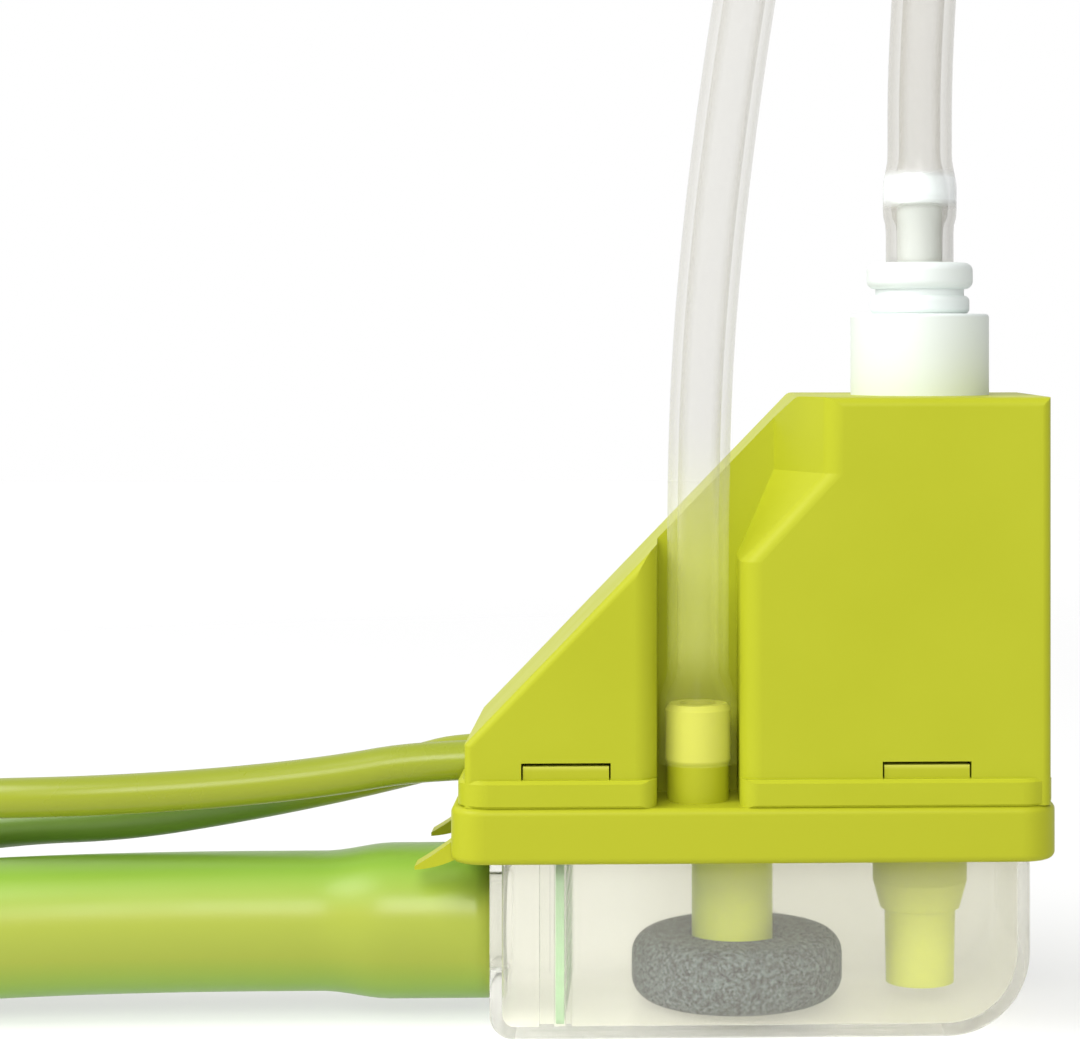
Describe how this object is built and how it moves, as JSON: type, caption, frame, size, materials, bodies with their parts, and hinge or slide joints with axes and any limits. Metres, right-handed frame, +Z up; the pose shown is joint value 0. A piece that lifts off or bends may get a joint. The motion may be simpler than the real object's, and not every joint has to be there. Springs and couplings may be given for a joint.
{
  "type": "condensate pump",
  "caption": "Small condensate pump with a clear reservoir, float, sloped moulded head, vent and discharge tubes, drain hose and cables.",
  "frame": {"origin": "on the reservoir's flat resting face, under the middle of the lid", "axes": "+X along the pump away from the drain hose, +Y to the back, +Z up through the outlet"},
  "size_m": [0.2634, 0.1355, 0.1878],
  "materials": {
    "reservoir_clear": "clear, faintly frosted",
    "filter_plate": "milky, perforated",
    "lid_lime": "fine satin moulded",
    "cover_lime": "fine satin moulded",
    "stem_lime": "smooth moulded",
    "float_foam": "closed-cell foam, speckled",
    "hose_lime": "soft satin extruded",
    "cable_lime": "satin sheath",
    "rubber_lime": "moulded",
    "vinyl_clear": "clear, soft",
    "outlet_white": "moulded nylon",
    "clip_white": "moulded",
    "rubber_dark": "moulded",
    "steel": "drawn",
    "spring_steel": "drawn wire",
    "yoke_zinc": "zinc plated",
    "brass_seat": "turned",
    "magnet_grey": "sintered",
    "bobbin_nylon": "moulded",
    "winding_copper": "enamelled wire",
    "circuit_board": "solder mask",
    "chip_black": "moulded",
    "terminal_grey": "moulded",
    "capacitor_grey": "potted box",
    "varistor_blue": "dipped",
    "core_colours": "insulated cores",
    "ferrule_tin": "tinned"
  },
  "bodies": {
    "head": {"lid": "lid_lime", "lid_gasket": "rubber_dark", "cover": "cover_lime", "cable_grommet": "rubber_lime", "sensor_stem": "stem_lime", "float_clip": "clip_white", "sensor_board": "circuit_board", "hall_sensors": "chip_black", "intake": "stem_lime", "intake_strainer": "filter_plate", "inlet_coupler": "rubber_dark", "pump_tube": "steel", "inlet_seat": "brass_seat", "inlet_retainer": "brass_seat", "outlet_seat": "brass_seat", "coil_bobbin": "bobbin_nylon", "coil_winding": "winding_copper", "pole_sleeves": "steel", "steel_yoke": "yoke_zinc", "thermal_cutout": "chip_black", "lower_mount": "rubber_dark", "upper_mount": "rubber_dark", "outlet_collar": "outlet_white", "outlet_ring": "outlet_white", "outlet_valve_body": "outlet_white", "outlet_o_ring": "rubber_dark", "cable_clamp": "clip_white", "clamp_screws": "yoke_zinc", "control_board": "circuit_board", "terminal_block": "terminal_grey", "film_capacitor": "capacitor_grey", "triac": "chip_black", "varistor": "varistor_blue", "vent_tube": "vinyl_clear", "discharge_tube": "vinyl_clear", "power_cable": "cable_lime", "signal_cable": "cable_lime", "power_coil": "cable_lime", "signal_coil": "cable_lime", "power_cores": "core_colours", "signal_cores": "core_colours", "power_ferrules": "ferrule_tin", "signal_ferrules": "ferrule_tin"},
    "reservoir": {"reservoir": "reservoir_clear", "inlet_filter": "filter_plate", "hose_cuff": "hose_lime", "drain_hose": "hose_lime"},
    "release_tab": {"release_tab": "lid_lime"},
    "float": {"float_ring": "float_foam", "float_magnet": "magnet_grey"},
    "piston": {"piston": "steel", "piston_seal": "rubber_dark", "lower_spring": "spring_steel", "upper_spring": "spring_steel"},
    "inlet_valve": {"inlet_valve": "rubber_dark", "inlet_valve_spring": "spring_steel"},
    "outlet_valve": {"outlet_valve": "rubber_dark", "outlet_valve_spring": "spring_steel"}
  },
  "joints": [
    {"name": "reservoir_off", "type": "slide", "parent": "head", "child": "reservoir", "axis": [0, 0, -1], "range_m": [0, 0.032]},
    {"name": "tab_squeeze", "type": "hinge", "parent": "head", "child": "release_tab", "pos_m": [-0.04215, 0, 0.0302], "axis": [0, 1, 0], "range_deg": [0, 10], "stiffness_Nm_per_rad": 0.05},
    {"name": "float_lift", "type": "slide", "parent": "head", "child": "float", "axis": [0, 0, 1], "range_m": [0, 0.01]},
    {"name": "piston_stroke", "type": "slide", "parent": "head", "child": "piston", "axis": [0, 0, 1], "range_m": [-0.0025, 0.0025], "stiffness_N_per_m": 400, "deforming": ["lower_spring", "upper_spring"]},
    {"name": "inlet_valve_lift", "type": "slide", "parent": "head", "child": "inlet_valve", "axis": [0, 0, 1], "range_m": [0, 0.0008], "stiffness_N_per_m": 60, "deforming": ["inlet_valve_spring"]},
    {"name": "outlet_valve_lift", "type": "slide", "parent": "head", "child": "outlet_valve", "axis": [0, 0, 1], "range_m": [0, 0.0008], "stiffness_N_per_m": 60, "deforming": ["outlet_valve_spring"]}
  ]
}
